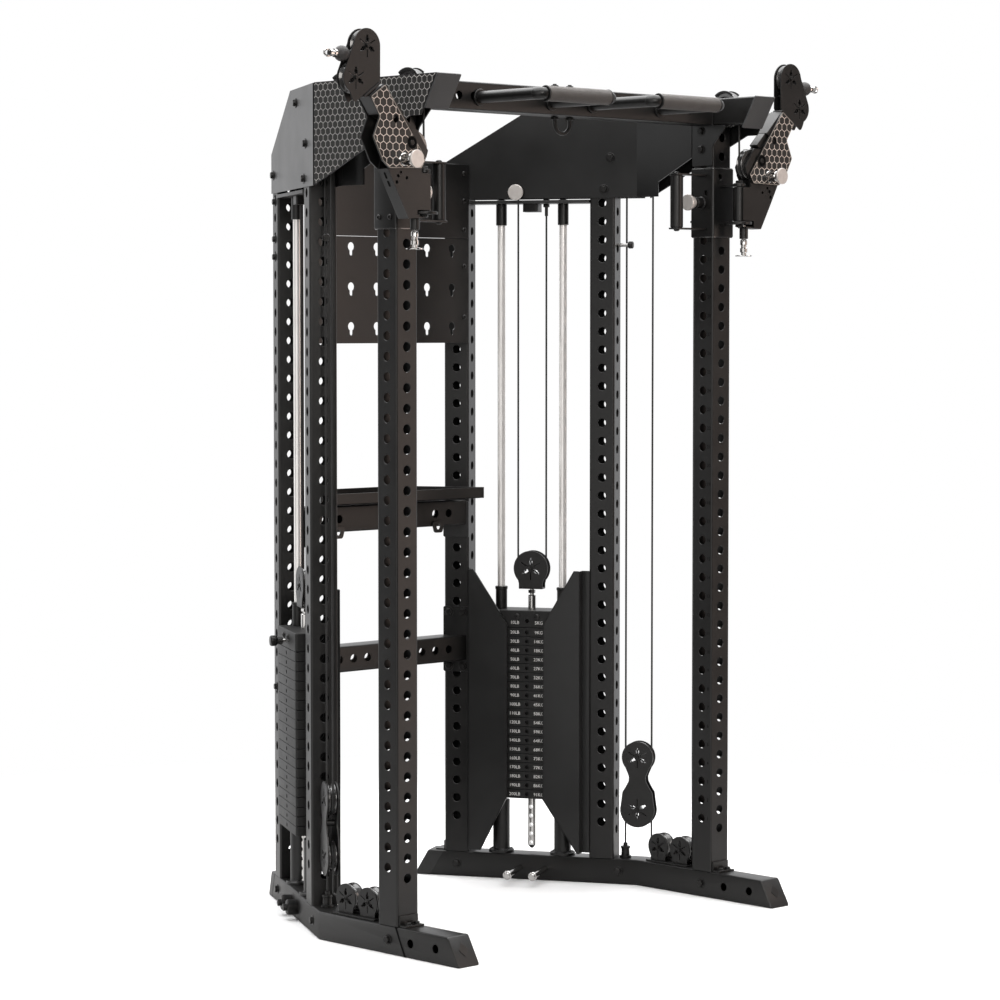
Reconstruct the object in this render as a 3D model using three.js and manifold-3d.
// Functional trainer: two weight-stack towers joined by a pull-up beam, a keyhole
// panel, a shelf and a rear crossmember. Each tower carries a height-adjustable
// carriage with a swivelling, raising pulley arm.
// Millimetres, +Z up, X = 0 is the mirror plane, Z = 0 the floor, -Y the user side.
// The right tower is on +X; "inner" faces X = 0.
import * as THREE from 'three';
import { mergeVertices } from 'three/addons/utils/BufferGeometryUtils.js';
import Module from 'manifold-3d';

const wasm = await Module();
wasm.setup();

// ---------------------------------------------------------------- driving dimensions
const FRAME_Y = -281.17;     // shifts the machine so that its box is centred on Y = 0
const TUBE = 70;             // square tube
const HALF = TUBE / 2;
const WALL = 3;
const SHEET_T = 3;           // sheet panels
const HOLE_R = 9;
const GAP = 0.3;             // gap kept between resting parts
const AXLE_R = 5;            // pulley axles
const PULLEY_BORE = AXLE_R + 0.4;

const RAIL_X = 567.8;        // centre of the front upright and of the straight rails
const BEND_Y = 251;          // where the rails bend inwards
const BEND = THREE.MathUtils.degToRad(29.1);
const MID_S = 108.5;         // mid and rear uprights, along the rear segment
const REAR_S = 526.1;
const BEAM_Z = 2068;         // underside of the beam and top rails
const TOP_Z = BEAM_Z + TUBE;

const HOLE_PITCH = 50;       // pin holes in the front uprights
const HOLE_Z = 213.3;        // lowest pin hole
const HOLE_COUNT = 36;
const CARRIAGE_Z = HOLE_Z + 33 * HOLE_PITCH;

const STACK_S = 317.3;       // stack centre, along the rear segment
const ROD_OFFSET = 88.6;     // guide rods, either side of the stack centre
const ROD_R = 11;

const SWIVEL_Y = -97;        // swivel axis of the arm
const ARM_Y = -96.5;         // middle plane of the arm
const ARM_PIVOT = { x: 629, z: 1974 };

// ---------------------------------------------------------------- materials
const material = (name, color, { roughness, metalness }) =>
  new THREE.MeshStandardMaterial({ name, color, roughness, metalness });

const BLACK = material('black_powder_coat', 0x1f1f20, { roughness: 0.55, metalness: 0.3 });
const SHEET = material('panel_sheet', 0x2a2a2b, { roughness: 0.5, metalness: 0.3 });
const CHROME = material('chrome', 0xc8c8c8, { roughness: 0.12, metalness: 1.0 });
const STEEL = material('grey_disc', 0xb9b6b3, { roughness: 0.5, metalness: 0.6 });
const IRON = material('stack_iron', 0x202020, { roughness: 0.7, metalness: 0.2 });
const NYLON = material('pulley_nylon', 0x17181a, { roughness: 0.4, metalness: 0.0 });
const RUBBER = material('stop_rubber', 0x2b2829, { roughness: 0.6, metalness: 0.0 });

// ---------------------------------------------------------------- booleans
const keepPositionsOnly = (geometry) => {
  for (const key of Object.keys(geometry.attributes)) {
    if (key !== 'position') geometry.deleteAttribute(key);
  }
};

const toManifold = (geometry) => {
  const bare = geometry.clone();
  keepPositionsOnly(bare);
  const merged = mergeVertices(bare, 1e-4);
  return new wasm.Manifold(new wasm.Mesh({
    numProp: 3,
    vertProperties: new Float32Array(merged.attributes.position.array),
    triVerts: new Uint32Array(merged.index.array),
  }));
};

const toGeometry = (manifold) => {
  const mesh = manifold.getMesh();
  const geometry = new THREE.BufferGeometry();
  geometry.setAttribute('position', new THREE.BufferAttribute(mesh.vertProperties, 3));
  geometry.setIndex(new THREE.BufferAttribute(mesh.triVerts, 1));
  return geometry;
};

const join = (...parts) => toGeometry(parts.map(toManifold).reduce((a, b) => a.add(b)));
const cut = (body, ...tools) =>
  toGeometry(tools.map(toManifold).reduce((a, b) => a.subtract(b), toManifold(body)));
const common = (a, b) => toGeometry(toManifold(a).intersect(toManifold(b)));

// ---------------------------------------------------------------- shapes
// box between two corners
const box = ([x0, y0, z0], [x1, y1, z1]) => {
  const geometry = new THREE.BoxGeometry(x1 - x0, y1 - y0, z1 - z0);
  return geometry.translate((x0 + x1) / 2, (y0 + y1) / 2, (z0 + z1) / 2);
};

// cylinder along one axis; centre holds its other two coordinates, in XYZ order
const cyl = (axis, radius, from, to, [c1, c2], sides = 16) => {
  const geometry = new THREE.CylinderGeometry(radius, radius, to - from, sides);
  const mid = (from + to) / 2;
  if (axis === 'x') return geometry.rotateZ(-Math.PI / 2).translate(mid, c1, c2);
  if (axis === 'y') return geometry.translate(c1, mid, c2);
  return geometry.rotateX(Math.PI / 2).translate(c1, c2, mid);
};

// (x, y) outline extruded along Z
const prismZ = (outline, z0, z1) => {
  const shape = new THREE.Shape(outline.map(([x, y]) => new THREE.Vector2(x, y)));
  const geometry = new THREE.ExtrudeGeometry(shape, { depth: z1 - z0, bevelEnabled: false });
  return geometry.translate(0, 0, z0);
};
// (x, z) outline extruded along Y
const prismY = (outline, y0, y1) => prismZ(outline, -y1, -y0).rotateX(Math.PI / 2);
// (y, z) outline extruded along X
const prismX = (outline, x0, x1) =>
  prismZ(outline, x0, x1).rotateX(Math.PI / 2).rotateZ(Math.PI / 2);

// two parallel (x, z) plates, each between the distances near and far from y = mid
const cheeks = (outline, near, far, mid = 0) => [
  prismY(outline, mid - far, mid - near),
  prismY(outline, mid + near, mid + far),
];

// points of an arc; angles in degrees
const arc = (cx, cy, radius, from, to, steps) => {
  const points = [];
  for (let i = 0; i <= steps; i++) {
    points.push(polar(cx, cy, radius, from + (to - from) * i / steps));
  }
  return points;
};
const polar = (cx, cy, radius, degrees) => {
  const angle = THREE.MathUtils.degToRad(degrees);
  return [cx + radius * Math.cos(angle), cy + radius * Math.sin(angle)];
};

// bored disc with a cable groove round its rim, axis along Y
const pulley = (radius, grooveR, width) => {
  const side = width / 2;
  const profile = [
    [PULLEY_BORE, -side], [radius, -side], [radius, -side + 2.5], [grooveR, -1.5],
    [grooveR, 1.5], [radius, side - 2.5], [radius, side], [PULLEY_BORE, side],
    [PULLEY_BORE, -side],
  ];
  return new THREE.LatheGeometry(profile.map(([r, y]) => new THREE.Vector2(r, y)), 18);
};

const moved = (geometry, x, y, z) => geometry.clone().translate(x, y, z);

const mirrored = (geometry) => {
  const copy = geometry.clone().scale(-1, 1, 1);
  const index = copy.index.array;
  for (let i = 0; i < index.length; i += 3) {
    [index[i + 1], index[i + 2]] = [index[i + 2], index[i + 1]];
  }
  keepPositionsOnly(copy);
  return copy;
};

// ---------------------------------------------------------------- rail layout
// Local frame of the right rear segment: x = s, along the rail to the rear; y = inwards.
const SEG_ANGLE = Math.PI / 2 + BEND;
const SEG_TURN = [0, 0, SEG_ANGLE];
const ALONG = [-Math.sin(BEND), Math.cos(BEND)];
const OUTWARD = [Math.cos(BEND), Math.sin(BEND)];

const onSegment = (s, z) => [RAIL_X + ALONG[0] * s, BEND_Y + ALONG[1] * s, z];
const toSegment = (geometry) =>
  geometry.clone().rotateZ(SEG_ANGLE).translate(RAIL_X, BEND_Y, 0);

// plan of a mitred band along the rail, between two offsets (positive = outwards)
const band = (offset0, offset1, yFront, sRear) => {
  const mitre = Math.tan(BEND / 2);
  const rear = (offset) => {
    const [x, y] = onSegment(sRear, 0);
    return [x + OUTWARD[0] * offset, y + OUTWARD[1] * offset];
  };
  return [
    [RAIL_X + offset0, yFront],
    [RAIL_X + offset1, yFront],
    [RAIL_X + offset1, BEND_Y + offset1 * mitre],
    rear(offset1),
    rear(offset0),
    [RAIL_X + offset0, BEND_Y + offset0 * mitre],
  ];
};

// open-ended bent tube
const railTube = (yFront, sRear, z0) => cut(
  prismZ(band(-HALF, HALF, yFront, sRear), z0, z0 + TUBE),
  prismZ(band(-HALF + WALL, HALF - WALL, yFront - 20, sRear + 20), z0 + WALL, z0 + TUBE - WALL),
);

// blocks wider than the rail: (y, z) outline over its front part, (s, z) over its rear segment
const frontBlock = (outline) => prismX(outline, 400, 720);
const rearBlock = (outline) => toSegment(prismY(outline, -90, 90));

// ---------------------------------------------------------------- placing
const trainer = new THREE.Group();
const frame = new THREE.Group();
frame.position.set(0, FRAME_Y, 0);
trainer.add(frame);

const put = (name, geometry, surface, position, rotation = [0, 0, 0]) => {
  const mesh = new THREE.Mesh(geometry, surface);
  mesh.name = name;
  mesh.position.set(...position);
  mesh.rotation.set(...rotation);
  frame.add(mesh);
};

// a part of the right tower and its mirror image on the left; the geometry is in its own
// frame, which sits at position and is turned by rotation
const putPair = (name, geometry, surface, position, rotation = [0, 0, 0]) => {
  const [x, y, z] = position;
  const [turnX, turnY, turnZ] = rotation;
  put(`right_${name}`, geometry, surface, position, rotation);
  put(`left_${name}`, mirrored(geometry), surface, [-x, y, z], [turnX, -turnY, -turnZ]);
};

// ---------------------------------------------------------------- base rail
const BASE_FRONT_Y = -247;       // front end at the floor
const BASE_REAR_S = 645;         // rear end at the floor
const BASE_SLANT = 40 / TUBE;    // both ends lean in towards the rail's top
const FLOOR_PULLEY_Y = { front: 97, rear: 178 };
const FLOOR_PULLEY_Z = 112;
const FLANGE_TOP = TUBE + 5;

// guide-rod riser with its flange
function rodRiser(s) {
  return toSegment(cut(
    join(
      cyl('z', 23.5, TUBE - 1, 213, [s, 0], 20),
      cyl('z', 34, TUBE - 1, FLANGE_TOP, [s, 0], 20),
    ),
    cyl('z', ROD_R + 1, FLANGE_TOP - 1, 220, [s, 0]),
  ));
}

// two ears and the axle of a floor pulley
function floorPulleyMount(y) {
  const ear = [[y - 20, TUBE - 1], [y + 20, TUBE - 1], [y + 11, 120], [y - 11, 120]];
  return [
    prismX(ear, RAIL_X - 17, RAIL_X - 13),
    prismX(ear, RAIL_X + 13, RAIL_X + 17),
    cyl('x', AXLE_R, RAIL_X - 16, RAIL_X + 16, [y, FLOOR_PULLEY_Z], 12),
  ];
}

function addBaseRail() {
  const frontAt = (z) => BASE_FRONT_Y + BASE_SLANT * z;
  const rearAt = (z) => BASE_REAR_S - BASE_SLANT * z;
  const rail = cut(
    railTube(-300, 720, 0),
    frontBlock([[frontAt(-10), -10], [frontAt(80), 80], [-420, 80], [-420, -10]]),
    rearBlock([[rearAt(-10), -10], [800, -10], [800, 80], [rearAt(80), 80]]),
  );
  const whole = join(
    rail,
    rodRiser(STACK_S - ROD_OFFSET),
    rodRiser(STACK_S + ROD_OFFSET),
    ...floorPulleyMount(FLOOR_PULLEY_Y.front),
    ...floorPulleyMount(FLOOR_PULLEY_Y.rear),
  );
  putPair('base_rail', moved(whole, -RAIL_X, 0, 0), BLACK, [RAIL_X, 0, 0]);
}

// ---------------------------------------------------------------- uprights
const UPRIGHT_Z = TUBE + GAP;
const REAR_UPRIGHT_TOP = 1980;

function uprightTube(topZ) {
  const height = topZ - UPRIGHT_Z;
  const bore = HALF - WALL;
  return cut(
    box([-HALF, -HALF, 0], [HALF, HALF, height]),
    box([-bore, -bore, -1], [bore, bore, height + 1]),
  );
}

function addUprights() {
  // pin holes go through the inner wall only
  const holes = [];
  for (let i = 0; i < HOLE_COUNT; i++) {
    const z = HOLE_Z + i * HOLE_PITCH - UPRIGHT_Z;
    holes.push(cyl('x', HOLE_R, -HALF - 5, -HALF + 8, [0, z], 8));
  }
  const plain = uprightTube(BEAM_Z - GAP);
  const rear = uprightTube(REAR_UPRIGHT_TOP);
  putPair('front_upright', cut(plain, ...holes), BLACK, [RAIL_X, 0, UPRIGHT_Z]);
  putPair('mid_upright', plain, BLACK, onSegment(MID_S, UPRIGHT_Z), SEG_TURN);
  putPair('rear_upright', rear, BLACK, onSegment(REAR_S, UPRIGHT_Z), SEG_TURN);
}

// ---------------------------------------------------------------- top rail and side panels
const PANEL_Z = 1885;                        // lower edge of the side panels
const REAR_SLOPE_TOP_S = 296;                // sloping rear edge, at the rail's top
const REAR_SLOPE_LOW = { s: 555, z: 1988 };  // and at its lower end

const topFrontY = (z) => -138 - 0.5732 * (z - 2058);
const topRearS = (z) => REAR_SLOPE_TOP_S
  + (TOP_Z - z) * (REAR_SLOPE_LOW.s - REAR_SLOPE_TOP_S) / (TOP_Z - REAR_SLOPE_LOW.z);

function addTopRail() {
  const rail = cut(
    railTube(-220, 470, BEAM_Z),
    frontBlock([[topFrontY(2040), 2040], [topFrontY(2160), 2160], [-400, 2160], [-400, 2040]]),
    rearBlock([[topRearS(2040), 2040], [900, 2040], [900, 2160], [topRearS(2160), 2160]]),
  );
  putPair('top_rail', moved(rail, -RAIL_X, 0, -BEAM_Z), BLACK, [RAIL_X, 0, BEAM_Z]);
}

function addSidePanels() {
  // y, z of the front parts; the outer panel reaches the front end of the top rail
  const outerFront = [
    [topFrontY(2040) + 1, 2040], [-93, 2040], [266, PANEL_Z],
    [300, PANEL_Z], [300, TOP_Z], [topFrontY(TOP_Z) + 1, TOP_Z],
  ];
  const innerFront = [[40, 1984], [243, PANEL_Z], [300, PANEL_Z], [300, TOP_Z], [40, TOP_Z]];
  // s, z of the rear part, shared by both panels
  const rearPart = rearBlock([
    [-60, PANEL_Z], [REAR_SLOPE_LOW.s, PANEL_Z], [REAR_SLOPE_LOW.s, REAR_SLOPE_LOW.z],
    [REAR_SLOPE_TOP_S, TOP_Z], [-60, TOP_Z],
  ]);
  const near = HALF + GAP;
  const far = near + SHEET_T;
  const addPanel = (name, offset0, offset1, front) => {
    const sheet = prismZ(band(offset0, offset1, -220, 700), 1870, 2150);
    const panel = common(sheet, join(frontBlock(front), rearPart));
    putPair(name, moved(panel, -RAIL_X, 0, -PANEL_Z), SHEET, [RAIL_X, 0, PANEL_Z]);
  };
  addPanel('outer_side_panel', near, far, outerFront);
  addPanel('inner_side_panel', -far, -near, innerFront);
}

// ---------------------------------------------------------------- weight stack
const PLATE = { length: 240, width: 100, height: 25, count: 19 };
const GROOVE = { height: 1.6, depth: 1.5 };      // between neighbouring plates
const STACK_Z = 228;
const STACK_H = PLATE.count * PLATE.height;
const HEAD_Z = STACK_Z + STACK_H;                // underside of the head plate
const SELECTOR_Z = 19;                           // selector pin above that underside
const ROD_TOP_PLATE_Z = 1871;

function addGuideRods() {
  const rodTop = ROD_TOP_PLATE_Z + 2;
  const parts = [box(
    [MID_S + HALF + GAP, -36, ROD_TOP_PLATE_Z],
    [REAR_S - HALF - GAP, 36, ROD_TOP_PLATE_Z + 9],
  )];
  for (const s of [STACK_S - ROD_OFFSET, STACK_S + ROD_OFFSET]) {
    parts.push(cyl('z', ROD_R, FLANGE_TOP + 1, rodTop, [s, 0]));
    parts.push(cyl('z', 15, 1813, rodTop, [s, 0]));
  }
  putPair('guide_rods', join(...parts), CHROME, onSegment(0, 0), SEG_TURN);
}

// resting plates as one solid: rectangular rings joined from the bottom up
function plateStack() {
  const rings = [];     // z, inset
  for (let i = 0; i < PLATE.count; i++) {
    const top = (i + 1) * PLATE.height;
    const edge = top - GROOVE.height;
    rings.push([i * PLATE.height, 0]);
    if (i === PLATE.count - 1) rings.push([top, 0]);
    else rings.push([edge, 0], [edge, GROOVE.depth], [top, GROOVE.depth]);
  }
  const vertices = [];
  for (const [z, inset] of rings) {
    const x = PLATE.length / 2 - inset;
    const y = PLATE.width / 2 - inset;
    vertices.push(-x, -y, z, x, -y, z, x, y, z, -x, y, z);
  }
  const index = [];
  for (let i = 0; i < rings.length - 1; i++) {
    for (let k = 0; k < 4; k++) {
      const low = i * 4 + k;
      const lowNext = i * 4 + (k + 1) % 4;
      index.push(low, lowNext, lowNext + 4, low, lowNext + 4, low + 4);
    }
  }
  const lid = (rings.length - 1) * 4;
  index.push(0, 2, 1, 0, 3, 2, lid, lid + 1, lid + 2, lid, lid + 2, lid + 3);
  const geometry = new THREE.BufferGeometry();
  geometry.setAttribute('position', new THREE.BufferAttribute(new Float32Array(vertices), 3));
  geometry.setIndex(index);
  return geometry;
}

function addWeightPlates() {
  const bore = (x, radius) => cyl('z', radius, -5, STACK_H + 5, [x, 0], 12);
  const plates = cut(
    plateStack(),
    bore(-ROD_OFFSET, ROD_R + 1),
    bore(ROD_OFFSET, ROD_R + 1),
    bore(0, 10.5),
  );
  putPair('weight_plates', plates, IRON, onSegment(STACK_S, STACK_Z), SEG_TURN);
}

// head plate with bushings, selector rod and lifting stud; its frame is at its underside
function addHeadPlate() {
  const head = cut(
    join(
      box([-PLATE.length / 2, -PLATE.width / 2, GAP], [PLATE.length / 2, PLATE.width / 2, 48]),
      cyl('z', 16.5, 47, 107, [-ROD_OFFSET, 0]),
      cyl('z', 16.5, 47, 107, [ROD_OFFSET, 0]),
      cyl('z', 9.5, 82 - HEAD_Z, 2, [0, 0], 12),
      cyl('z', 7.5, 47, 105, [0, 0], 12),
    ),
    cyl('z', ROD_R + 0.6, -5, 120, [-ROD_OFFSET, 0]),
    cyl('z', ROD_R + 0.6, -5, 120, [ROD_OFFSET, 0]),
    cyl('y', 5.4, -60, 30, [0, SELECTOR_Z], 12),
  );
  putPair('head_plate', head, IRON, onSegment(STACK_S, HEAD_Z), SEG_TURN);
}

// pushed in from the outer side
function addSelectorPin() {
  const pin = join(cyl('y', 4.8, -76, 22, [0, 0], 12), cyl('y', 11, -92, -74, [0, 0], 12));
  putPair('selector_pin', pin, CHROME, onSegment(STACK_S, HEAD_Z + SELECTOR_Z), SEG_TURN);
}

// ---------------------------------------------------------------- pulley blocks
const BLOCK_CHEEK = { near: 11.5, far: 14.5 };

const blockAxle = (z) => cyl('y', AXLE_R, -14, 14, [0, z], 12);

// block on the lifting stud; frame at its axle
function addStackPulley() {
  const position = onSegment(STACK_S, 865);
  const outline = [...arc(0, 0, 44, -40, 220, 18), [-32, -54], [32, -54]];
  const block = join(
    ...cheeks(outline, BLOCK_CHEEK.near, BLOCK_CHEEK.far),
    box([-32, -BLOCK_CHEEK.far, -56], [32, BLOCK_CHEEK.far, -50]),
    blockAxle(0),
  );
  putPair('stack_pulley_block', block, BLACK, position, SEG_TURN);
  putPair('stack_pulley', pulley(45, 38, 20), NYLON, position, SEG_TURN);
}

// block of two pulleys in front of the mid upright; frame at the upper axle
function addFloatingBlock() {
  const upperZ = 350;
  const lowerZ = 205;
  const drop = lowerZ - upperZ;
  const upper = onSegment(11, upperZ);
  const lower = onSegment(11, lowerZ);
  const outline = [
    ...arc(0, 0, 43, -38, 218, 18),
    [-24, -50], [-27, -68],
    ...arc(0, drop + 24, 45, 142, 180, 4),
    ...arc(0, drop - 4, 45, 180, 360, 14),
    ...arc(0, drop + 24, 45, 0, 38, 4),
    [27, -68], [24, -50],
  ];
  const block = join(
    ...cheeks(outline, BLOCK_CHEEK.near, BLOCK_CHEEK.far),
    box([-18, -13, -66], [18, 13, -54]),
    blockAxle(0),
    blockAxle(drop),
  );
  const wheel = pulley(41, 34.5, 20);
  putPair('floating_block', block, BLACK, upper, SEG_TURN);
  putPair('floating_pulley_upper', wheel, NYLON, upper, SEG_TURN);
  putPair('floating_pulley_lower', wheel, NYLON, lower, SEG_TURN);
}

function addFloorPulleys() {
  const wheel = pulley(36.5, 30.5, 22).rotateZ(Math.PI / 2);
  for (const [end, y] of Object.entries(FLOOR_PULLEY_Y)) {
    putPair(`floor_pulley_${end}`, wheel, NYLON, [RAIL_X, y, FLOOR_PULLEY_Z]);
  }
}

// ---------------------------------------------------------------- carriage
const CARRIAGE_H = 180;
const EAR_T = 7;
const UPPER_EAR_Z = 1905;       // undersides of the two ears that hold the swivel bolt
const LOWER_EAR_Z = 1805;
const BOLT_R = 8;
const INDEX_HOLE_R = 5.6;       // swivel index holes and the bore of the lock pin's housing

// frame at its centre
function addCarriage() {
  const half = CARRIAGE_H / 2;
  const outside = 41.5;
  const inside = HALF + 1;
  const root = -outside + 2;    // where the fittings sink into the sleeve
  const upper = UPPER_EAR_Z - CARRIAGE_Z;
  const lower = LOWER_EAR_Z - CARRIAGE_Z;
  const sleeve = cut(
    box([-outside, -outside, -half], [outside, outside, half]),
    box([-inside, -inside, -half - 1], [inside, inside, half + 1]),
  );
  // x, y; the upper ear ends in a half ellipse
  const tip = arc(0, SWIVEL_Y, 12.5, 0, -180, 8).map(([x, y]) => [x * 16 / 12.5, y]);
  const ears = [
    prismZ([[-16, root], [16, root], ...tip], upper, upper + EAR_T),
    box([-16, SWIVEL_Y + 10, lower], [16, root, lower + EAR_T]),
    cyl('z', 34, lower, lower + EAR_T, [0, SWIVEL_Y], 24),
  ];
  const bolt = [
    cyl('z', BOLT_R, lower - 6, upper + 15, [0, SWIVEL_Y], 14),
    cyl('z', 11, lower - 7, lower + 1, [0, SWIVEL_Y], 12),
    cyl('z', 11, upper + 6, upper + 14, [0, SWIVEL_Y], 12),
  ];
  // upright bar between two plates on the inner side
  const grip = [
    box([-152, -17, 72], [root, 17, 76]),
    box([-152, -17, -76], [root, 17, -72]),
    cyl('z', 17, -75, 75, [-139, 0], 18),
  ];
  const pinBoss = cyl('x', 14, -76, -outside + 1, [0, 0]);
  const indexHoles = [];
  for (let i = 0; i < 5; i++) {
    const centre = polar(0, SWIVEL_Y, 25.7, 13.5 - 30 * i);
    indexHoles.push(cyl('z', INDEX_HOLE_R, lower - 2, lower + 9, centre, 8));
  }
  const carriage = cut(
    join(sleeve, ...ears, ...bolt, ...grip, pinBoss),
    cyl('x', 8.6, -90, -inside + 2, [0, 0]),
    ...indexHoles,
  );
  putPair('carriage', carriage, BLACK, [RAIL_X, 0, CARRIAGE_Z]);
}

// the plunger stands just clear of the upright; pushed in it enters a hole
function addCarriagePin() {
  const pin = join(
    cyl('x', 8, -84, -HALF - 0.6, [0, 0]),
    cyl('x', 21.5, -98, -92, [0, 0], 20),
    cyl('x', 6, -93, -83, [0, 0], 12),
  );
  putPair('carriage_pin', pin, STEEL, [RAIL_X, 0, CARRIAGE_Z]);
}

// ---------------------------------------------------------------- swivel bracket
const BRACKET_Z = 1858;                   // its frame, on the swivel axis
const SWIVEL_PIN = { x: 25, y: 6 };       // lock pin, from the swivel axis
const ARM_PIN_HOLE_R = 4.7;

// x, z of the side plates, from the machine's origin
const BRACKET_PLATE = [
  [606, 1795], [634, 1793], [668, 1852], [700, 1910], [692, 1935], [668, 1985],
  [655, 2004], [630, 2012], [566, 2010], [563, 2004], [563, 1914], [592, 1914],
  [592, 1903], [563, 1903], [563, 1814.5], [606, 1814.5],
];
// x, z of the web along their outer edge
const BRACKET_WEB = [
  [634, 1793], [668, 1852], [700, 1910], [695.5, 1911], [664, 1854], [630, 1797],
];

// built with x and z from the machine's origin and y from the swivel axis
function addSwivelBracket() {
  const mid = ARM_Y - SWIVEL_Y;
  const pivot = [ARM_PIVOT.x, ARM_PIVOT.z];
  const pinCentre = [RAIL_X + SWIVEL_PIN.x, SWIVEL_PIN.y];
  const body = join(
    ...cheeks(BRACKET_PLATE, 14, 19, mid),
    // sleeve between the carriage's ears
    cyl('z', 15.5, LOWER_EAR_Z + EAR_T + 0.6, UPPER_EAR_Z - 0.6, [RAIL_X, 0], 18),
    prismY(BRACKET_WEB, mid - 16, mid + 16),
    // shelf and the lock pin's housing below it
    box([580, mid - 16, 1795], [632, mid + 16, 1799.5]),
    cyl('z', 11, 1767, 1797, pinCentre),
  );
  const bored = cut(
    body,
    cyl('z', BOLT_R + 0.6, 1780, 1930, [RAIL_X, 0], 14),
    cyl('z', INDEX_HOLE_R, 1760, 1802, pinCentre, 12),
  );
  // upper cross axle, then the arm's pivot with its two heads
  const fitted = join(
    bored,
    cyl('y', AXLE_R, mid - 16, mid + 16, [602, 1963], 12),
    cyl('y', 6, mid - 28.5, mid + 28.5, pivot, 12),
    cyl('y', 15, mid - 29, mid - 25, pivot, 18),
    cyl('y', 15, mid + 25, mid + 29, pivot, 18),
  );
  // index holes for the arm's lock pin, in the front plate
  const holes = [];
  for (let i = 0; i < 6; i++) {
    const centre = polar(...pivot, 49.4, -41.2 - 15 * i);
    holes.push(cyl('y', ARM_PIN_HOLE_R, mid - 22, mid - 12, centre, 8));
  }
  const bracket = moved(cut(fitted, ...holes), -RAIL_X, 0, -BRACKET_Z);
  putPair('swivel_bracket', bracket, BLACK, [RAIL_X, SWIVEL_Y, BRACKET_Z]);
}

// lock pin under the bracket
function addSwivelPin() {
  const pin = join(
    cyl('z', 5, -62, 4, [0, 0], 12),
    cyl('z', 8.5, -67, -34.5, [0, 0], 14),
    cyl('z', 18, -70, -66, [0, 0], 18),
  );
  const position = [RAIL_X + SWIVEL_PIN.x, SWIVEL_Y + SWIVEL_PIN.y, 1800];
  putPair('swivel_pin', pin, CHROME, position);
}

// ---------------------------------------------------------------- arm
const ARM_PIN = { x: 27.5, z: -41 };      // from the pivot

// x, z outlines from the pivot
const ARM_CHEEK = [
  [-46, -37], [-32, -60], [71, -63], [93, -46], [123, 10], [102, 58], [131, 103], [85, 134],
];
const ARM_WEB = [[19, 46], [85, 134], [89, 131.3], [23, 43.5]];    // along the long inner edge
const ARM_SOCKET = [[85, 134], [59, 99], [104, 62], [131, 103]];   // block at the top

// frame at its pivot
function addArm() {
  const pinCentre = [ARM_PIN.x, ARM_PIN.z];
  const arm = cut(
    join(
      ...cheeks(ARM_CHEEK, 19.5, 24.5),
      prismY(ARM_WEB, -21, 21),
      prismY(ARM_SOCKET, -21, 21),
      cyl('y', 14, -57, -24, pinCentre),    // housing of the lock pin
    ),
    cyl('y', 6.6, -30, 30, [0, 0], 12),
    cyl('y', ARM_PIN_HOLE_R, -60, -15, pinCentre, 12),
  );
  putPair('arm', arm, SHEET, [ARM_PIVOT.x, ARM_Y, ARM_PIVOT.z]);
}

// stands just clear of the bracket; pushed in it enters an index hole
function addArmPin() {
  const pin = join(cyl('y', 4.2, -70, -19.7, [0, 0], 12), cyl('y', 21.5, -75, -69, [0, 0], 20));
  const position = [ARM_PIVOT.x + ARM_PIN.x, ARM_Y, ARM_PIVOT.z + ARM_PIN.z];
  putPair('arm_pin', pin, STEEL, position);
}

// ---------------------------------------------------------------- pulley head
const HEAD_TILT = THREE.MathUtils.degToRad(35);   // arm's axis from the vertical
const HEAD_ORIGIN = { x: 737, z: 2092.5 };        // on the joint with the arm's top edge
const UPPER_WHEEL = { x: 760, z: 2197 };
const LOWER_WHEEL = { x: 795.7, z: 2120 };

function addPulleyHead() {
  // a point given across and along the arm's axis
  const sin = Math.sin(HEAD_TILT);
  const cos = Math.cos(HEAD_TILT);
  const tilted = (across, along) => [cos * across + sin * along, cos * along - sin * across];
  const fromOrigin = ({ x, z }) => [x - HEAD_ORIGIN.x, z - HEAD_ORIGIN.z];
  const upper = fromOrigin(UPPER_WHEEL);
  const lower = fromOrigin(LOWER_WHEEL);
  const cheek = [
    tilted(-24, 5), tilted(58, 5), tilted(66, 18),
    ...arc(...lower, 40, -20, 38, 5),
    ...arc(...upper, 38, 8, 180, 12),
  ];
  const base = [tilted(-24, 4), tilted(40, 4), tilted(40, 10), tilted(-24, 10)];
  const head = join(
    ...cheeks(cheek, 9.5, 12),
    prismY(base, -20, 20),
    cyl('y', AXLE_R, -11, 11, upper, 12),
    cyl('y', AXLE_R, -11, 11, lower, 12),
  );
  const wheel = pulley(37, 30.5, 17);
  putPair('pulley_head', head, BLACK, [HEAD_ORIGIN.x, ARM_Y, HEAD_ORIGIN.z]);
  putPair('head_pulley_upper', wheel, NYLON, [UPPER_WHEEL.x, ARM_Y, UPPER_WHEEL.z]);
  putPair('head_pulley_lower', wheel, NYLON, [LOWER_WHEEL.x, ARM_Y, LOWER_WHEEL.z]);
}

// rubber ball with its clip link on the outer side; frame at the ball's centre
function addCableStop() {
  const profile = arc(0, 0, 19, -90, 90, 10).map(([r, y]) => new THREE.Vector2(r, y));
  const ball = new THREE.LatheGeometry(profile, 16).rotateZ(-Math.PI / 2);
  const stop = join(ball, cyl('x', 7, 15, 34, [0, 0], 12), cyl('x', 11, 33, 45, [0, 0], 12));
  putPair('cable_stop', stop, RUBBER, [832, ARM_Y, 2176]);
}

// ---------------------------------------------------------------- pull-up beam
const BEAM_HALF = 528;                             // to the inner faces of the end flanges
const GRIP = { x0: 74, x1: 325, y: -250, z: 2100 };

// y, z
const BEAM_FLANGE = [
  [36, 1962], [36, 2136], [-35, 2136], [-35, 2068], [-86, 2066], [-36, 2015], [-36, 1962],
];

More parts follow.
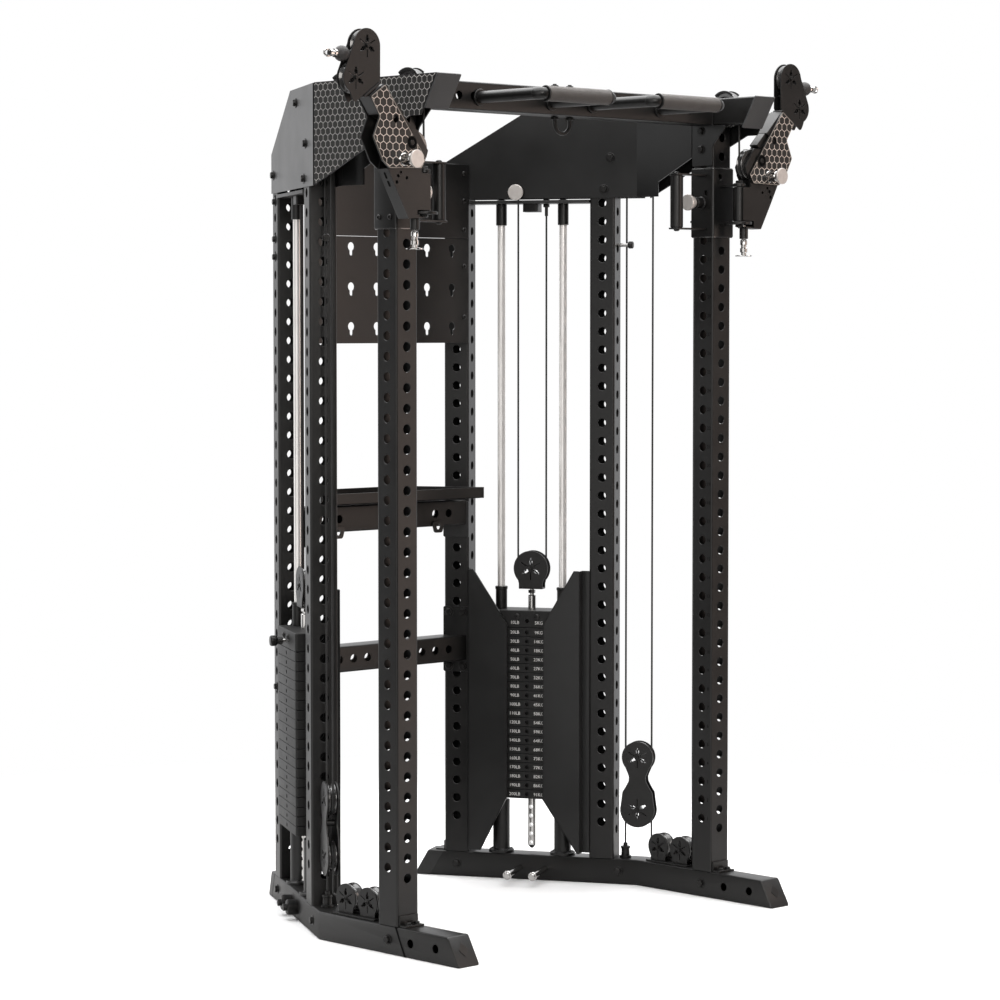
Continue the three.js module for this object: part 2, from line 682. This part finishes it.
function addPullUpBeam() {
  const end = BEAM_HALF + 1;
  const bore = HALF - WALL;
  const parts = [
    cut(
      box([-end, -HALF, BEAM_Z], [end, HALF, TOP_Z]),
      box([-end - 19, -bore, BEAM_Z + WALL], [end + 19, bore, TOP_Z - WALL]),
    ),
    prismX(BEAM_FLANGE, BEAM_HALF, BEAM_HALF + 4),
    prismX(BEAM_FLANGE, -BEAM_HALF - 4, -BEAM_HALF),
  ];
  const holes = [];
  for (const side of [-1, 1]) {
    const [from, to] = side < 0 ? [-GRIP.x1, -GRIP.x0] : [GRIP.x0, GRIP.x1];
    parts.push(cyl('x', 19, from, to, [GRIP.y, GRIP.z], 14));
    for (const x of [from, to]) {
      parts.push(cyl('y', 15.5, GRIP.y - 15, -HALF + 1, [x, GRIP.z], 12));
    }
    for (const x of [393, 343]) {
      holes.push(cyl('y', HOLE_R, -HALF - 5, -HALF + 5, [side * x, 2103], 10));
    }
  }
  const beam = cut(join(...parts), ...holes);
  put('pull_up_beam', moved(beam, 0, 0, -BEAM_Z), BLACK, [0, 0, BEAM_Z]);
}

// ---------------------------------------------------------------- rear cross parts
const CROSS_Y = 700;      // centre of the rear tubes

// a tube across the back, trimmed to the rear uprights, with its end plates between the
// heights plateZ0 and plateZ1; extras are solids joined to the tube
function crossTube(z0, plateZ0, plateZ1, ...extras) {
  const front = CROSS_Y - HALF;
  const rear = CROSS_Y + HALF;
  const face = HALF + GAP;
  const tube = cut(
    box([-330, front, z0], [330, rear, z0 + TUBE]),
    box([-340, front + WALL, z0 + WALL], [340, rear - WALL, z0 + TUBE - WALL]),
  );
  const trim = toSegment(box([400, -300, -50], [720, face, 2000]));
  const plate = toSegment(
    box([REAR_S - HALF, face, plateZ0], [REAR_S + HALF, face + 5, plateZ1]),
  );
  const trimmed = cut(join(tube, ...extras), trim, mirrored(trim));
  const holes = [-175, -125, -75, 75, 125, 175].map(
    (x) => cyl('y', HOLE_R, front - 5, front + 7, [x, z0 + HALF], 8),
  );
  return moved(cut(join(trimmed, plate, mirrored(plate)), ...holes), 0, 0, -z0);
}

function addRearCrossmember() {
  const z = 607;
  put('rear_crossmember', crossTube(z, 560, 745), BLACK, [0, 0, z]);
}

// cross tube with an open tray on top
function addStorageShelf() {
  const z = 985;
  const trayPlan = [[-283, 600], [283, 600], [168, 806], [-168, 806]];
  const insidePlan = [[-278, 603], [278, 603], [166, 803], [-166, 803]];
  const tray = cut(prismZ(trayPlan, 1054, 1080), prismZ(insidePlan, 1058, 1090));
  put('storage_shelf', crossTube(z, 950, 1050, tray), BLACK, [0, 0, z]);
}

// x, z from the keyhole's centre: a slot below a wider head
const KEYHOLE = [[-4, -20], [4, -20], [4, 0], [10, 5], [7, 14], [-7, 14], [-10, 5], [-4, 0]];

function addKeyholePanel() {
  const bottom = 1490;
  const keyholes = [];
  for (let column = 0; column < 6; column++) {
    const centreX = (column - 2.5) * 92;
    for (const centreZ of [1532, 1638, 1745]) {
      const outline = KEYHOLE.map(([x, z]) => [centreX + x, centreZ + z]);
      keyholes.push(prismY(outline, 650, 670));
    }
  }
  const sheet = box([-293, 660 - SHEET_T, bottom], [293, 660, 1980]);
  const panel = moved(cut(sheet, ...keyholes), 0, 0, -bottom);
  put('keyhole_panel', panel, SHEET, [0, 0, bottom]);
}

// ---------------------------------------------------------------- assembly
addBaseRail();
addUprights();
addTopRail();
addSidePanels();
addGuideRods();
addWeightPlates();
addHeadPlate();
addSelectorPin();
addStackPulley();
addFloatingBlock();
addFloorPulleys();
addCarriage();
addCarriagePin();
addSwivelBracket();
addSwivelPin();
addArm();
addArmPin();
addPulleyHead();
addCableStop();
addPullUpBeam();
addRearCrossmember();
addStorageShelf();
addKeyholePanel();

export default trainer;
